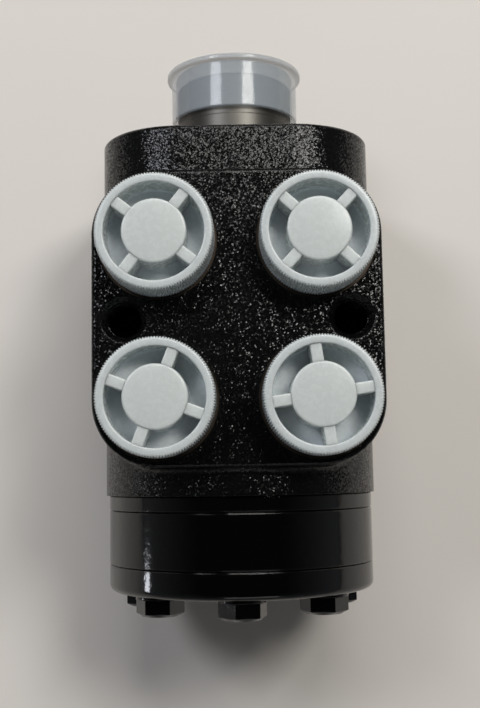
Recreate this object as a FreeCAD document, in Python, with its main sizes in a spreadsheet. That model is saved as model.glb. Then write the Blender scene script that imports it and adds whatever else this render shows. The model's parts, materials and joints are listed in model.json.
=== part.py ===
import FreeCAD, Part
import math
import os

import Sketcher
from FreeCAD import Placement, Rotation, Vector

# Orbital steering unit: a hand-driven rotary valve in a cast housing, with a gerotor set,
# a distributor plate and an end cover bolted on behind it.
# Frame: the origin is the centre of the column mounting face, on the shaft axis.
# +Y runs out of that face along the steering column, +Z out of the port face, +X to the right.
# Lengths called "from the face" are measured from the column face towards -Y.

doc = FreeCAD.newDocument("OrbitalSteeringUnit")

# Driving dimensions, in millimetres and degrees
SIZES = {
    "Housing casting": {
        "end_margin": 8.35,
        "end_flange_step": 1.0,
        "end_flange_thick": 18.0,
        "barrel_step": 2.0,
        "flange_width": 84.6,
        "flange_height": 88.0,
        "flange_corner": 25.0,
        "flange_thick": 22.0,
        "flange_edge": 1.2,
        "block_width": 86.5,
        "block_length": 89.0,
        "block_shift": 0.75,
        "block_corner": 19.6,
        "block_rise": 4.0,
        "block_root": 20.0,
        "block_draft_angle": 20.0,
        "cast_edge": 1.4,
        "cast_cove": 2.5,
    },
    "Column spigot": {
        "spigot_radius": 19.6,
        "spigot_length": 26.0,
        "spigot_land": 12.0,
        "spigot_relief": 0.3,
        "spigot_chamfer": 1.0,
        "column_bolt_pitch": 58.5,
        "column_bolt_radius": 4.25,
        "column_bolt_depth": 18.0,
    },
    "Ports": {
        "port_centre": 59.6,
        "port_pitch": 47.4,
        "port_radius": 10.4,
        "port_depth": 16.0,
        "spotface_margin": 0.8,
        "spotface_depth": 0.8,
        "valve_bolt_pitch": 67.2,
        "valve_bolt_radius": 5.25,
        "valve_bolt_depth": 22.0,
        "valve_bolt_mouth": 6.9,
    },
    "Galleries": {
        "gallery_depth": 5.0,
        "gallery_width": 5.0,
        "gallery_shift": 6.0,
        "bridge_length": 17.0,
        "bridge_floor": 14.0,
        "drill_radius": 3.0,
        "drill_inset": 3.2,
        "drill_floor": 4.0,
        "metering_radius": 2.2,
        "metering_circle": 27.5,
        "metering_setback": 11.7,
    },
    "Fits": {
        "running_gap": 0.05,
        "face_gap": 0.05,
        "screw_gap": 0.2,
        "seal_gap": 0.3,
        "tooth_gap": 0.08,
        "spline_gap": 0.6,
        "overrun": 1.0,
    },
    "Rotary valve": {
        "spool_bore": 9.0,
        "spool_wall": 4.0,
        "sleeve_wall": 4.45,
        "neck_step": 0.5,
        "neck_end": 22.0,
        "neck_chamfer": 1.0,
        "spool_setback": 4.7,
        "socket_radius": 8.2,
        "socket_tooth_depth": 1.0,
        "socket_tooth_width": 2.2,
        "socket_depth": 20.0,
        "socket_teeth": 12.0,
        "sleeve_hole_radius": 1.4,
        "sleeve_holes": 6.0,
        "groove_width": 3.0,
        "groove_depth": 1.8,
    },
    "Thrust bearing": {
        "bearing_start": 2.0,
        "race_gap": 0.8,
        "race_thick": 1.5,
        "needle_radius": 1.5,
        "needle_margin": 0.25,
        "needle_count": 12.0,
        "cage_thick": 2.0,
        "cage_inner_step": 0.2,
        "cage_outer_step": 0.3,
    },
    "Seals": {
        "dust_seal_section": 3.5,
        "dust_seal_length": 6.0,
        "dust_lip": 2.0,
        "shaft_seal_section": 3.0,
        "shaft_seal_length": 6.0,
        "seal_land": 0.6,
        "seal_groove_margin": 0.4,
        "seal_groove_width": 2.2,
        "seal_depth": 1.5,
    },
    "Centring springs": {
        "spring_centre": 19.0,
        "spring_width": 6.5,
        "spring_gap": 1.0,
        "leaf_thick": 0.4,
        "leaf_bow": 0.4,
        "leaf_count": 3.0,
        "leaf_gap": 0.04,
        "slot_play": 0.1,
        "slot_margin": 0.5,
        "spring_ring_thick": 1.0,
        "spring_ring_width": 11.0,
    },
    "Cross pin and cardan shaft": {
        "pin_space": 4.75,
        "pin_radius": 4.0,
        "pin_inset": 0.1,
        "pin_play": 2.5,
        "fork_clearance": 1.0,
        "fork_chamfer": 1.0,
        "fork_front": 6.0,
        "fork_back": 10.0,
        "fork_gap": 0.35,
        "shank_radius": 5.6,
        "head_play": 0.85,
        "tooth_depth_play": 0.2,
        "tooth_width_play": 1.0,
    },
    "Gerotor set": {
        "lobes": 7.0,
        "screw_circle": 32.4,
        "lobe_radius": 7.0,
        "eccentricity": 3.0,
        "root_clearance": 0.2,
        "arcs_per_tooth": 12.0,
        "rim_margin": 2.8,
        "edge_break": 0.35,
        "ring_thick": 17.15,
        "plate_thick": 4.8,
        "plate_bore": 12.0,
        "rotor_bore": 8.7,
        "rotor_tooth_depth": 1.2,
        "rotor_tooth_width": 2.6,
        "spacer_gap": 0.8,
        "spacer_thick": 2.4,
    },
    "End cover and screws": {
        "cover_thick": 8.5,
        "cover_edge": 2.2,
        "washer_radius": 7.6,
        "washer_thick": 1.0,
        "screw_radius": 4.0,
        "screw_depth": 14.0,
        "head_flats": 13.0,
        "head_height": 5.3,
        "head_angle": 10.0,
        "tap_extra": 3.0,
    },
    "Emergency check valve": {
        "check_place": 3.0,
        "bush_wall": 1.15,
        "bush_length": 10.0,
        "bush_recess": 1.0,
        "ball_radius": 4.25,
        "ball_travel": 1.5,
        "ball_gap": 0.3,
        "check_drill": 2.5,
        "check_drill_depth": 8.0,
        "stop_screw_depth": 6.0,
        "stop_pin_radius": 1.5,
        "stop_pin_length": 4.5,
    },
    "Port plugs": {
        "plug_radius": 17.2,
        "plug_height": 13.0,
        "plug_edge": 1.2,
        "plug_rim_wall": 2.5,
        "plug_pocket_depth": 11.0,
        "plug_disc_step": 0.75,
        "plug_disc_wall": 1.15,
        "plug_skin": 1.5,
        "plug_spoke_width": 3.4,
        "plug_spoke_drop": 0.5,
        "plug_spoke_root": 0.5,
        "plug_shank_gap": 0.3,
        "plug_shank_length": 11.0,
    },
    "Spigot cap": {
        "cap_gap": 0.35,
        "cap_wall": 1.4,
        "cap_length": 17.0,
        "cap_headroom": 3.8,
        "cap_end_thick": 1.2,
        "cap_rim_step": 1.55,
        "cap_rim_thick": 1.8,
    },
}

sheet = doc.addObject("Spreadsheet::Sheet", "Dim")
row = 1
for group, sizes in SIZES.items():
    sheet.set(f"A{row}", group)
    row += 1
    for name, value in sizes.items():
        sheet.set(f"A{row}", name)
        sheet.set(f"B{row}", str(value))
        sheet.setAlias(f"B{row}", name)
        row += 1
doc.recompute()


def dim(expression):
    """Value of an expression of the sheet's cells."""
    return float(sheet.evalExpression(expression))


def count(name):
    return int(dim(f"Dim.{name}"))


# Radii from the shaft outwards, as expressions of the sheet
FORK_RADIUS = "(Dim.spool_bore - Dim.fork_clearance)"
SPOOL_RADIUS = "(Dim.spool_bore + Dim.spool_wall)"
SLEEVE_RADIUS = f"({SPOOL_RADIUS} + Dim.running_gap + Dim.sleeve_wall)"
GALLERY_RADIUS = f"({SLEEVE_RADIUS} + Dim.gallery_depth)"
NECK_RADIUS = f"({SPOOL_RADIUS} - Dim.neck_step)"
DUST_SEAL_RADIUS = f"({NECK_RADIUS} + Dim.dust_seal_section)"
SHAFT_SEAL_RADIUS = f"({NECK_RADIUS} + Dim.shaft_seal_section)"
RACE_BORE = f"({NECK_RADIUS} + Dim.race_gap)"
CAGE_INNER = f"({RACE_BORE} + Dim.cage_inner_step)"
CAGE_OUTER = f"({SLEEVE_RADIUS} - Dim.cage_outer_step)"
NEEDLE_LENGTH = f"({CAGE_OUTER} - {CAGE_INNER} - 2 * Dim.needle_margin)"
CAP_RADIUS = "(Dim.spigot_radius + Dim.cap_gap + Dim.cap_wall)"
CAP_RIM = f"({CAP_RADIUS} + Dim.cap_rim_step)"

# Radii built out from the circle of screws
BUSH_RADIUS = "(Dim.screw_radius + Dim.running_gap + Dim.bush_wall)"
GROOVE_INNER = f"(Dim.screw_circle + {BUSH_RADIUS} + Dim.seal_groove_margin)"
GROOVE_OUTER = f"({GROOVE_INNER} + Dim.seal_groove_width)"
RING_RADIUS = f"({GROOVE_OUTER} + Dim.rim_margin)"
END_FLANGE_RADIUS = f"({RING_RADIUS} + Dim.end_flange_step)"
BARREL_RADIUS = f"({END_FLANGE_RADIUS} - Dim.barrel_step)"
BLOCK_HEIGHT = f"({BARREL_RADIUS} + Dim.block_rise)"

# Sizes of pieces that fit others
SPRING_LENGTH = f"(2 * ({SLEEVE_RADIUS} - Dim.spring_ring_thick - Dim.spring_gap))"
SLOT_WIDTH = "(2 * (Dim.leaf_count * Dim.leaf_thick + Dim.leaf_bow + Dim.slot_play))"
HEAD_WIDTH = "(Dim.ring_thick - 2 * Dim.spacer_thick - Dim.head_play)"
HEAD_TOOTH_DEPTH = "(Dim.rotor_tooth_depth - Dim.tooth_depth_play)"
HEAD_TOOTH_WIDTH = "(Dim.rotor_tooth_width - Dim.tooth_width_play)"
SPACER_RADIUS = "(Dim.rotor_bore - Dim.spacer_gap)"
SPOTFACE_RADIUS = "(Dim.plug_radius + Dim.spotface_margin)"
PLUG_SHANK = "(Dim.port_radius - Dim.plug_shank_gap)"
PLUG_DISC = f"({PLUG_SHANK} - Dim.plug_disc_step)"
PLUG_HOLLOW = f"({PLUG_DISC} - Dim.plug_disc_wall)"
PLUG_POCKET = "(Dim.plug_radius - Dim.plug_rim_wall)"

# Distances from the column face
BLOCK_MIDDLE = "(Dim.port_centre - Dim.block_shift)"
HOUSING_LENGTH = f"({BLOCK_MIDDLE} + Dim.block_length / 2 + Dim.end_margin)"
SPOOL_END = f"({HOUSING_LENGTH} - Dim.spool_setback)"
METERING_ROW = f"({HOUSING_LENGTH} - Dim.metering_setback)"
PIN_CENTRE = "(Dim.spring_centre + Dim.spring_width / 2 + Dim.pin_space + Dim.fork_front)"
PORT_ROW_FRONT = "(Dim.port_centre - Dim.port_pitch / 2)"
PORT_ROW_REAR = "(Dim.port_centre + Dim.port_pitch / 2)"
GALLERIES = {
    "left_front": f"({PORT_ROW_FRONT} + Dim.gallery_shift)",
    "right_front": f"({PORT_ROW_FRONT} + Dim.bridge_length)",
    "left_rear": f"({PORT_ROW_REAR} - Dim.gallery_shift)",
    "right_rear": f"({PORT_ROW_REAR} + Dim.gallery_shift)",
}
BEARING_THICK = "(2 * Dim.race_thick + 2 * Dim.needle_radius + 2 * Dim.face_gap)"
SLEEVE_START = f"(Dim.bearing_start + {BEARING_THICK} + Dim.face_gap)"
PLATE_START = HOUSING_LENGTH
RING_START = f"({HOUSING_LENGTH} + Dim.plate_thick)"
COVER_START = f"({RING_START} + Dim.ring_thick)"
COVER_END = f"({COVER_START} + Dim.cover_thick)"
ROTOR_MIDDLE = f"({RING_START} + Dim.ring_thick / 2)"
CARDAN_LENGTH = f"({ROTOR_MIDDLE} - {PIN_CENTRE})"
CARDAN_TILT = f"atan(Dim.eccentricity / {CARDAN_LENGTH})"
SPOTFACE = f"({BLOCK_HEIGHT} - Dim.spotface_depth)"
PLUG_TOP = f"({BLOCK_HEIGHT} + Dim.plug_height)"
CAP_END = "(Dim.spigot_length + Dim.cap_headroom + Dim.cap_end_thick)"
PITCH_ANGLE = "(360 / Dim.lobes)"
RING_ROOT = "(Dim.screw_circle - Dim.lobe_radius + 2 * Dim.eccentricity + Dim.root_clearance)"
SPRING_SLOT = ("-(Dim.spring_centre + Dim.spring_width / 2 + Dim.slot_margin)",
               "-(Dim.spring_centre - Dim.spring_width / 2 - Dim.slot_margin)")
STOP_PIN_TIP = "(Dim.stop_screw_depth + Dim.stop_pin_length)"
BALL_DEPTH = f"({STOP_PIN_TIP} + Dim.ball_radius + Dim.ball_travel)"
CHAMBER_DEPTH = f"({BALL_DEPTH} + Dim.ball_radius)"


# Sketch and feature helpers
def new_body(name):
    body = doc.addObject("PartDesign::Body", name)
    body.Label = name
    return body


def origin_feature(body, role):
    return next(f for f in body.Origin.OriginFeatures if f.Role == role)


def new_sketch(body, name, role, height="0", east="0", north="0", turn="0"):
    """Sketch on an origin plane of the body, moved by expressions in the plane's own frame."""
    sketch = body.newObject("Sketcher::SketchObject", f"{body.Name}_{name}")
    sketch.AttachmentSupport = (origin_feature(body, role), [""])
    sketch.MapMode = "FlatFace"
    turned = dim(turn) != 0
    if turned:
        sketch.AttachmentOffset = Placement(Vector(), Rotation(Vector(0, 0, 1), dim(turn)))
    for axis, expression in zip("xyz", (east, north, height)):
        if expression != "0":
            sketch.setExpression(f"AttachmentOffset.Base.{axis}", expression)
    if turned:
        sketch.setExpression("AttachmentOffset.Rotation.Angle", turn)
    return sketch


def bind(sketch, kind, place, expression):
    """Adds one driving dimension to a sketch and ties it to the sheet."""
    index = sketch.addConstraint(Sketcher.Constraint(kind, *place, dim(expression)))
    sketch.setExpression(f"Constraints[{index}]", expression)


def draw_outline(sketch, points):
    """Closed outline of straight lines through points given as pairs of expressions."""
    places = [Vector(dim(east), dim(north), 0) for east, north in points]
    first = sketch.GeometryCount
    for start, end in zip(places, places[1:] + places[:1]):
        sketch.addGeometry(Part.LineSegment(start, end), False)
    for i, (east, north) in enumerate(points):
        before = first + (i - 1) % len(points)
        sketch.addConstraint(Sketcher.Constraint("Coincident", before, 2, first + i, 1))
        bind(sketch, "DistanceX", (-1, 1, first + i, 1), east)
        bind(sketch, "DistanceY", (-1, 1, first + i, 1), north)


def draw_circle(sketch, radius, east="0", north="0"):
    centre = Vector(dim(east), dim(north), 0)
    circle = sketch.addGeometry(Part.Circle(centre, Vector(0, 0, 1), dim(radius)), False)
    bind(sketch, "Radius", (circle,), radius)
    bind(sketch, "DistanceX", (-1, 1, circle, 3), east)
    bind(sketch, "DistanceY", (-1, 1, circle, 3), north)


def draw_box(sketch, low_east, high_east, low_north, high_north):
    draw_outline(sketch, [(low_east, low_north), (high_east, low_north),
                          (high_east, high_north), (low_east, high_north)])


def draw_rounded_box(sketch, half_east, half_north, radius, north="0"):
    """Rectangle with four equal corner arcs, each joined to its sides by a tangent."""
    corner = dim(radius)
    east_arm = f"({half_east} - {radius})"
    north_arm = f"({half_north} - {radius})"
    arcs = []
    for i, (right, up) in enumerate([(1, 1), (-1, 1), (-1, -1), (1, -1)]):
        centre = Vector(right * dim(east_arm), dim(north) + up * dim(north_arm), 0)
        circle = Part.Circle(centre, Vector(0, 0, 1), corner)
        start = i * math.pi / 2
        arcs.append(sketch.addGeometry(Part.ArcOfCircle(circle, start, start + math.pi / 2), False))
        bind(sketch, "Radius", (arcs[-1],), radius)
        bind(sketch, "DistanceX", (-1, 1, arcs[-1], 3), f"{right} * {east_arm}")
        bind(sketch, "DistanceY", (-1, 1, arcs[-1], 3), f"{north} + {up} * {north_arm}")
    for arc, following in zip(arcs, arcs[1:] + arcs[:1]):
        start = sketch.Geometry[arc].EndPoint
        end = sketch.Geometry[following].StartPoint
        line = sketch.addGeometry(Part.LineSegment(start, end), False)
        sketch.addConstraint(Sketcher.Constraint("Tangent", arc, 2, line, 1))
        sketch.addConstraint(Sketcher.Constraint("Tangent", line, 2, following, 1))


def pad(body, sketch, length, back=False, taper=None):
    feature = body.newObject("PartDesign::Pad", sketch.Name + "_pad")
    feature.Profile = sketch
    feature.setExpression("Length", length)
    feature.Reversed = back
    if taper:
        feature.setExpression("TaperAngle", taper)
    return feature


def pocket(body, sketch, length, back=False, both=False, taper=None):
    """Cut against the sketch's normal, or along it when back is set."""
    feature = body.newObject("PartDesign::Pocket", sketch.Name + "_cut")
    feature.Profile = sketch
    feature.setExpression("Length", length)
    feature.Reversed = back
    feature.Midplane = both
    if taper:
        feature.setExpression("TaperAngle", taper)
    return feature


def turn(body, sketch, cut=False):
    """Full turn of a profile about the sketch's vertical axis."""
    kind = "PartDesign::Groove" if cut else "PartDesign::Revolution"
    feature = body.newObject(kind, sketch.Name + "_turn")
    feature.Profile = sketch
    feature.ReferenceAxis = (sketch, ["V_Axis"])
    feature.Angle = 360
    return feature


def repeat(body, feature, times, role="Y_Axis"):
    """Copies of a feature spaced evenly round one of the body's axes."""
    pattern = body.newObject("PartDesign::PolarPattern", feature.Name + "_ring")
    pattern.Originals = [feature]
    pattern.Axis = (origin_feature(body, role), [""])
    pattern.Angle = 360
    pattern.setExpression("Occurrences", times)
    body.Tip = pattern
    return pattern


def edges_where(feature, test):
    """Names of the feature's edges that pass a test on the edge."""
    doc.recompute()
    return [f"Edge{i}" for i, edge in enumerate(feature.Shape.Edges, 1) if test(edge)]


def round_edges(body, feature, test, radius):
    fillet = body.newObject("PartDesign::Fillet", feature.Name + "_round")
    fillet.Base = (feature, edges_where(feature, test))
    fillet.setExpression("Radius", radius)
    return fillet


def bevel_edges(body, feature, test, size):
    chamfer = body.newObject("PartDesign::Chamfer", feature.Name + "_bevel")
    chamfer.Base = (feature, edges_where(feature, test))
    chamfer.setExpression("Size", size)
    return chamfer


def lies_at(edge, axis, value):
    """True when the whole edge lies at one value of X, Y or Z."""
    low = getattr(edge.BoundBox, f"{axis}Min")
    high = getattr(edge.BoundBox, f"{axis}Max")
    return abs(low - value) < 1e-4 and abs(high - value) < 1e-4


def is_rim(edge, radius):
    """True for a full circle of the given radius about the shaft axis."""
    return isinstance(edge.Curve, Part.Circle) and abs(edge.BoundBox.XLength - 2 * radius) < 1e-3


def turned_piece(name, points):
    """Piece turned about the shaft axis from pairs of radius and place along Y."""
    body = new_body(name)
    sketch = new_sketch(body, "profile", "XY_Plane")
    draw_outline(sketch, points)
    turn(body, sketch)
    return body


def ring_points(inner, outer, start, end):
    """Plain ring section between two distances from the column face."""
    return [(inner, f"-{start}"), (outer, f"-{start}"), (outer, f"-{end}"), (inner, f"-{end}")]


def on_circle(radius, angle):
    """East and north of a point on a circle, its angle counted from +Z towards +X."""
    return f"({radius}) * sin({angle})", f"({radius}) * cos({angle})"


def screw_place(k):
    """East and north of one of the screws, counted from the one nearest the port face."""
    return on_circle("Dim.screw_circle", f"{k} * {PITCH_ANGLE}")


# Housing: flange, barrel and port block, then the machined bores
def make_housing():
    body = new_body("housing")

    sketch = new_sketch(body, "flange", "XZ_Plane")
    draw_rounded_box(sketch, "Dim.flange_width / 2", "Dim.flange_height / 2", "Dim.flange_corner")
    solid = pad(body, sketch, "Dim.flange_thick")
    round_edges(body, solid, lambda edge: lies_at(edge, "Y", 0), "Dim.flange_edge")

    block = ("Dim.block_width / 2", "Dim.block_length / 2", "Dim.block_corner", f"-{BLOCK_MIDDLE}")
    sketch = new_sketch(body, "block", "XY_Plane")
    draw_rounded_box(sketch, *block)
    pad(body, sketch, BLOCK_HEIGHT)

    sketch = new_sketch(body, "block_skirt", "XY_Plane")
    draw_rounded_box(sketch, *block)
    pad(body, sketch, "Dim.block_root", back=True, taper="-Dim.block_draft_angle")

    sketch = new_sketch(body, "barrel", "XY_Plane")
    draw_outline(sketch, [
        ("0", "Dim.spigot_length"),
        ("Dim.spigot_radius - Dim.spigot_relief - Dim.spigot_chamfer", "Dim.spigot_length"),
        ("Dim.spigot_radius - Dim.spigot_relief", "Dim.spigot_length - Dim.spigot_chamfer"),
        ("Dim.spigot_radius - Dim.spigot_relief", "Dim.spigot_land"),
        ("Dim.spigot_radius", "Dim.spigot_land"),
        ("Dim.spigot_radius", "0"),
        (BARREL_RADIUS, "0"),
        (BARREL_RADIUS, f"-({HOUSING_LENGTH} - Dim.end_flange_thick - Dim.barrel_step)"),
        (END_FLANGE_RADIUS, f"-({HOUSING_LENGTH} - Dim.end_flange_thick)"),
        (END_FLANGE_RADIUS, f"-{HOUSING_LENGTH}"),
        ("0", f"-{HOUSING_LENGTH}"),
    ])
    solid = turn(body, sketch)

    face_z = dim(BLOCK_HEIGHT)
    solid = round_edges(body, solid, lambda edge: lies_at(edge, "Z", face_z), "Dim.cast_edge")
    rear_y = -dim(f"{BLOCK_MIDDLE} + Dim.block_length / 2")
    round_edges(body, solid, lambda edge: isinstance(edge.Curve, Part.Circle) and lies_at(edge, "Y", rear_y),
                "Dim.cast_cove")

    bore = f"({SLEEVE_RADIUS} + Dim.running_gap)"
    neck = f"({NECK_RADIUS} + Dim.seal_gap)"
    sketch = new_sketch(body, "bore", "XY_Plane")
    draw_outline(sketch, [
        ("0", "Dim.spigot_length"),
        (DUST_SEAL_RADIUS, "Dim.spigot_length"),
        (DUST_SEAL_RADIUS, "Dim.spigot_length - Dim.dust_seal_length"),
        (neck, "Dim.spigot_length - Dim.dust_seal_length"),
        (neck, "Dim.shaft_seal_length - Dim.bearing_start"),
        (SHAFT_SEAL_RADIUS, "Dim.shaft_seal_length - Dim.bearing_start"),
        (SHAFT_SEAL_RADIUS, "-Dim.bearing_start"),
        (bore, "-Dim.bearing_start"),
        (bore, f"-{HOUSING_LENGTH}"),
        ("0", f"-{HOUSING_LENGTH}"),
    ])
    turn(body, sketch, cut=True)

    for name, place in GALLERIES.items():
        sketch = new_sketch(body, f"gallery_{name}", "XY_Plane")
        draw_box(sketch, f"{SLEEVE_RADIUS} - Dim.overrun", GALLERY_RADIUS,
                 f"-({place} + Dim.gallery_width / 2)", f"-({place} - Dim.gallery_width / 2)")
        turn(body, sketch, cut=True)

    sketch = new_sketch(body, "spotfaces", "XY_Plane", BLOCK_HEIGHT)
    for side in (-1, 1):
        for place in (PORT_ROW_FRONT, PORT_ROW_REAR):
            draw_circle(sketch, SPOTFACE_RADIUS, f"{side} * Dim.port_pitch / 2", f"-{place}")
    pocket(body, sketch, "Dim.spotface_depth")

    sketch = new_sketch(body, "ports", "XY_Plane", BLOCK_HEIGHT)
    for side in (-1, 1):
        for place in (PORT_ROW_FRONT, PORT_ROW_REAR):
            draw_circle(sketch, "Dim.port_radius", f"{side} * Dim.port_pitch / 2", f"-{place}")
    pocket(body, sketch, "Dim.port_depth")

    sketch = new_sketch(body, "drillings", "XY_Plane", f"{BLOCK_HEIGHT} - Dim.port_depth")
    for name, place in GALLERIES.items():
        side = "-1" if name.startswith("left") else "1"
        draw_circle(sketch, "Dim.drill_radius", f"{side} * (Dim.port_pitch / 2 - Dim.drill_inset)", f"-{place}")
    pocket(body, sketch, f"{BLOCK_HEIGHT} - Dim.port_depth - Dim.drill_floor")

    # The front right port reaches its gallery through a cored bridge under the port floor
    sketch = new_sketch(body, "bridge", "XY_Plane", f"{BLOCK_HEIGHT} - Dim.port_depth")
    draw_box(sketch, "Dim.port_pitch / 2 - Dim.drill_inset - Dim.drill_radius",
             "Dim.port_pitch / 2 - Dim.drill_inset + Dim.drill_radius",
             f"-{GALLERIES['right_front']}", f"-{PORT_ROW_FRONT}")
    pocket(body, sketch, f"{BLOCK_HEIGHT} - Dim.port_depth - Dim.bridge_floor")

    sketch = new_sketch(body, "valve_bolts", "XY_Plane", BLOCK_HEIGHT)
    for side in (-1, 1):
        draw_circle(sketch, "Dim.valve_bolt_radius", f"{side} * Dim.valve_bolt_pitch / 2", "-Dim.port_centre")
    pocket(body, sketch, "Dim.valve_bolt_depth")
    sketch = new_sketch(body, "valve_bolt_mouths", "XY_Plane", BLOCK_HEIGHT)
    for side in (-1, 1):
        draw_circle(sketch, "Dim.valve_bolt_mouth", f"{side} * Dim.valve_bolt_pitch / 2", "-Dim.port_centre")
    pocket(body, sketch, "Dim.valve_bolt_mouth - Dim.valve_bolt_radius", taper="-45")

    sketch = new_sketch(body, "column_bolts", "XZ_Plane")
    for side in (-1, 1):
        for level in (-1, 1):
            draw_circle(sketch, "Dim.column_bolt_radius", f"{side} * Dim.column_bolt_pitch / 2",
                        f"{level} * Dim.column_bolt_pitch / 2")
    pocket(body, sketch, "Dim.column_bolt_depth", back=True)

    # Seven tapped holes in the end face; the check valve's place gets a wider, deeper bore
    sketch = new_sketch(body, "screw_holes", "XZ_Plane", PLATE_START)
    for k in range(count("lobes")):
        if k != count("check_place"):
            draw_circle(sketch, "Dim.screw_radius + Dim.screw_gap", *screw_place(k))
    pocket(body, sketch, "Dim.screw_depth + Dim.tap_extra")

    sketch = new_sketch(body, "bush_bore", "XZ_Plane", PLATE_START)
    draw_circle(sketch, f"{BUSH_RADIUS} + Dim.running_gap", *screw_place("Dim.check_place"))
    pocket(body, sketch, "Dim.bush_recess + Dim.bush_length")
    sketch = new_sketch(body, "ball_chamber", "XZ_Plane", PLATE_START)
    draw_circle(sketch, "Dim.ball_radius + Dim.ball_gap", *screw_place("Dim.check_place"))
    pocket(body, sketch, CHAMBER_DEPTH)
    sketch = new_sketch(body, "check_drill", "XZ_Plane", PLATE_START)
    draw_circle(sketch, "Dim.check_drill", *screw_place("Dim.check_place"))
    pocket(body, sketch, f"{CHAMBER_DEPTH} + Dim.check_drill_depth")

    # One metering passage for each gerotor chamber: a radial drilling and an axial one
    sketch = new_sketch(body, "metering_radial", "XY_Plane")
    draw_circle(sketch, "Dim.metering_radius", "0", f"-{METERING_ROW}")
    repeat(body, pocket(body, sketch, "Dim.metering_circle"), "Dim.lobes")
    sketch = new_sketch(body, "metering_axial", "XZ_Plane", PLATE_START)
    draw_circle(sketch, "Dim.metering_radius", "0", "-Dim.metering_circle")
    repeat(body, pocket(body, sketch, f"{HOUSING_LENGTH} - {METERING_ROW}"), "Dim.lobes")

    sketch = new_sketch(body, "end_seal_groove", "XZ_Plane", PLATE_START)
    draw_circle(sketch, GROOVE_INNER)
    draw_circle(sketch, GROOVE_OUTER)
    pocket(body, sketch, "Dim.seal_depth")
    return body


# Rotary valve: sleeve and spool
def make_sleeve():
    body = new_body("sleeve")
    inner = f"({SPOOL_RADIUS} + Dim.running_gap)"
    neck = f"({SLEEVE_RADIUS} - Dim.spring_ring_thick - Dim.running_gap)"
    ring_end = "(Dim.spring_centre + Dim.spring_ring_width / 2 + Dim.face_gap)"
    sketch = new_sketch(body, "profile", "XY_Plane")
    draw_outline(sketch, [
        (inner, f"-{SLEEVE_START}"),
        (neck, f"-{SLEEVE_START}"),
        (neck, f"-{ring_end}"),
        (SLEEVE_RADIUS, f"-{ring_end}"),
        (SLEEVE_RADIUS, f"-({HOUSING_LENGTH} - Dim.face_gap)"),
        (inner, f"-({HOUSING_LENGTH} - Dim.face_gap)"),
    ])
    turn(body, sketch)

    sketch = new_sketch(body, "spring_slot", "XY_Plane")
    draw_box(sketch, f"-{SLOT_WIDTH} / 2", f"{SLOT_WIDTH} / 2", *SPRING_SLOT)
    pocket(body, sketch, f"2 * {SLEEVE_RADIUS}", both=True)

    sketch = new_sketch(body, "pin_hole", "YZ_Plane")
    draw_circle(sketch, "Dim.pin_radius + Dim.running_gap", f"-{PIN_CENTRE}")
    pocket(body, sketch, f"2 * ({SLEEVE_RADIUS} + Dim.overrun)", both=True)

    for i, (name, place) in enumerate(GALLERIES.items()):
        row_turn = f"{i} * 180 / Dim.sleeve_holes"
        sketch = new_sketch(body, f"holes_{name}", "XY_Plane")
        draw_circle(sketch, "Dim.sleeve_hole_radius", "0", f"-{place}")
        repeat(body, pocket(body, sketch, f"{SLEEVE_RADIUS} + Dim.overrun", back=i % 2 == 1), "Dim.sleeve_holes")

    sketch = new_sketch(body, "metering_holes", "XY_Plane")
    draw_circle(sketch, "Dim.sleeve_hole_radius", "0", f"-{METERING_ROW}")
    repeat(body, pocket(body, sketch, f"{SLEEVE_RADIUS} + Dim.overrun"), "2 * Dim.sleeve_holes")
    return body


def make_spool():
    body = new_body("spool")
    sketch = new_sketch(body, "profile", "XY_Plane")
    draw_outline(sketch, [
        ("Dim.socket_radius", "Dim.neck_end"),
        (f"{NECK_RADIUS} - Dim.neck_chamfer", "Dim.neck_end"),
        (NECK_RADIUS, "Dim.neck_end - Dim.neck_chamfer"),
        (NECK_RADIUS, f"-{SLEEVE_START}"),
        (SPOOL_RADIUS, f"-{SLEEVE_START}"),
        (SPOOL_RADIUS, f"-{SPOOL_END}"),
        ("Dim.spool_bore", f"-{SPOOL_END}"),
        ("Dim.spool_bore", f"-{SLEEVE_START}"),
        ("Dim.socket_radius", f"-{SLEEVE_START} + Dim.spool_bore - Dim.socket_radius"),
    ])
    turn(body, sketch)

    # Splined socket for the column shaft
    sketch = new_sketch(body, "socket_tooth", "XZ_Plane", "-Dim.neck_end")
    draw_box(sketch, "-Dim.socket_tooth_width / 2", "Dim.socket_tooth_width / 2",
             "Dim.socket_radius - Dim.overrun", "Dim.socket_radius + Dim.socket_tooth_depth")
    repeat(body, pocket(body, sketch, "Dim.socket_depth", back=True), "Dim.socket_teeth")

    sketch = new_sketch(body, "spring_slot", "XY_Plane")
    draw_box(sketch, f"-{SLOT_WIDTH} / 2", f"{SLOT_WIDTH} / 2", *SPRING_SLOT)
    pocket(body, sketch, f"2 * {SLEEVE_RADIUS}", both=True)

    # The pin passes the spool with play, which lets the spool lead the sleeve
    sketch = new_sketch(body, "pin_window", "YZ_Plane")
    draw_circle(sketch, "Dim.pin_radius + Dim.pin_play", f"-{PIN_CENTRE}")
    pocket(body, sketch, f"2 * {SLEEVE_RADIUS}", both=True)

    # Feed grooves between the front galleries, and return grooves between the rear ones
    for name, first, last, turned in (
        ("feed", GALLERIES["left_front"], METERING_ROW, "0"),
        ("return", GALLERIES["right_front"], GALLERIES["right_rear"], "180 / Dim.sleeve_holes"),
    ):
        sketch = new_sketch(body, f"{name}_groove", "XZ_Plane", first, turn=turned)
        draw_box(sketch, "-Dim.groove_width / 2", "Dim.groove_width / 2",
                 f"{SPOOL_RADIUS} - Dim.groove_depth", f"{SPOOL_RADIUS} + Dim.overrun")
        cut = pocket(body, sketch, f"{last} - {first}", back=True)
        repeat(body, cut, "Dim.sleeve_holes")
    return body


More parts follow.
